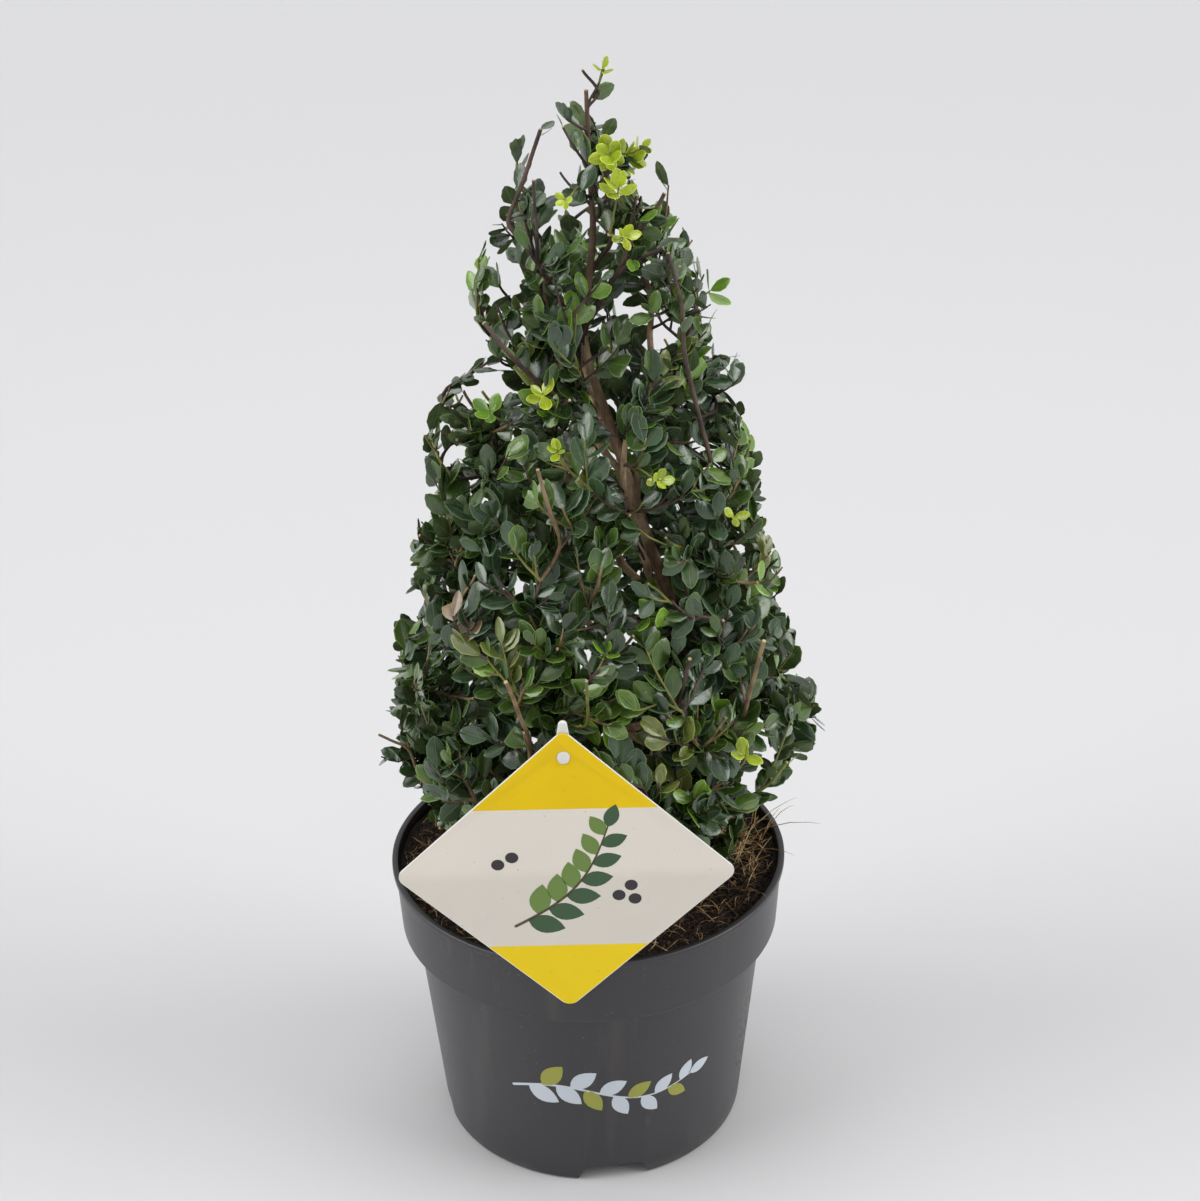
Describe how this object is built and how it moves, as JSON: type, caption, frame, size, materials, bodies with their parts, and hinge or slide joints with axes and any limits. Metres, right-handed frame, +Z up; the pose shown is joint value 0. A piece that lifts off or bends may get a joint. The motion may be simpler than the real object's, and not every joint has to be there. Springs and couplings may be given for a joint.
{
  "type": "potted japanese holly",
  "caption": "Small evergreen shrub clipped to a loose cone, with trunk, boughs and masses of leafy twigs, in a round plastic nursery pot of potting mix with a plain hanging label.",
  "frame": {"origin": "middle of the flat underside of the pot", "axes": "+Z up along the pot's axis, -Y towards the side where the label hangs, +X to the right seen from that side"},
  "size_m": [0.2677, 0.2507, 0.6344],
  "materials": {
    "pot": "dark charcoal, moulded, faintly scuffed",
    "soil": "rough moist potting mix of peat and bark fibre",
    "bark": "thin brown bark, slightly ridged",
    "foliage": "small leathery leaves, dark green with a soft sheen, on brown twigs",
    "label_card": "printed plastic card, satin",
    "label_stake": "plain white, satin"
  },
  "bodies": {
    "root": {"bough_lower_1": "bark", "bough_lower_2": "bark", "bough_lower_3": "bark", "bough_lower_4": "bark", "bough_lower_5": "bark", "bough_middle_1": "bark", "bough_middle_2": "bark", "bough_middle_3": "bark", "bough_middle_4": "bark", "bough_skirt_1": "bark", "bough_skirt_2": "bark", "bough_skirt_3": "bark", "bough_skirt_4": "bark", "bough_skirt_5": "bark", "bough_skirt_6": "bark", "bough_upper_1": "bark", "bough_upper_2": "bark", "bough_upper_3": "bark", "foliage_lower_1": "foliage", "foliage_lower_2": "foliage", "foliage_lower_3": "foliage", "foliage_lower_4": "foliage", "foliage_lower_5": "foliage", "foliage_middle_1": "foliage", "foliage_middle_2": "foliage", "foliage_middle_3": "foliage", "foliage_middle_4": "foliage", "foliage_skirt_1": "foliage", "foliage_skirt_2": "foliage", "foliage_skirt_3": "foliage", "foliage_skirt_4": "foliage", "foliage_skirt_5": "foliage", "foliage_skirt_6": "foliage", "foliage_top": "foliage", "foliage_upper_1": "foliage", "foliage_upper_2": "foliage", "foliage_upper_3": "foliage", "label_card": "label_card", "label_stake": "label_stake", "pot": "pot", "soil": "soil", "trunk": "bark"}
  },
  "joints": []
}
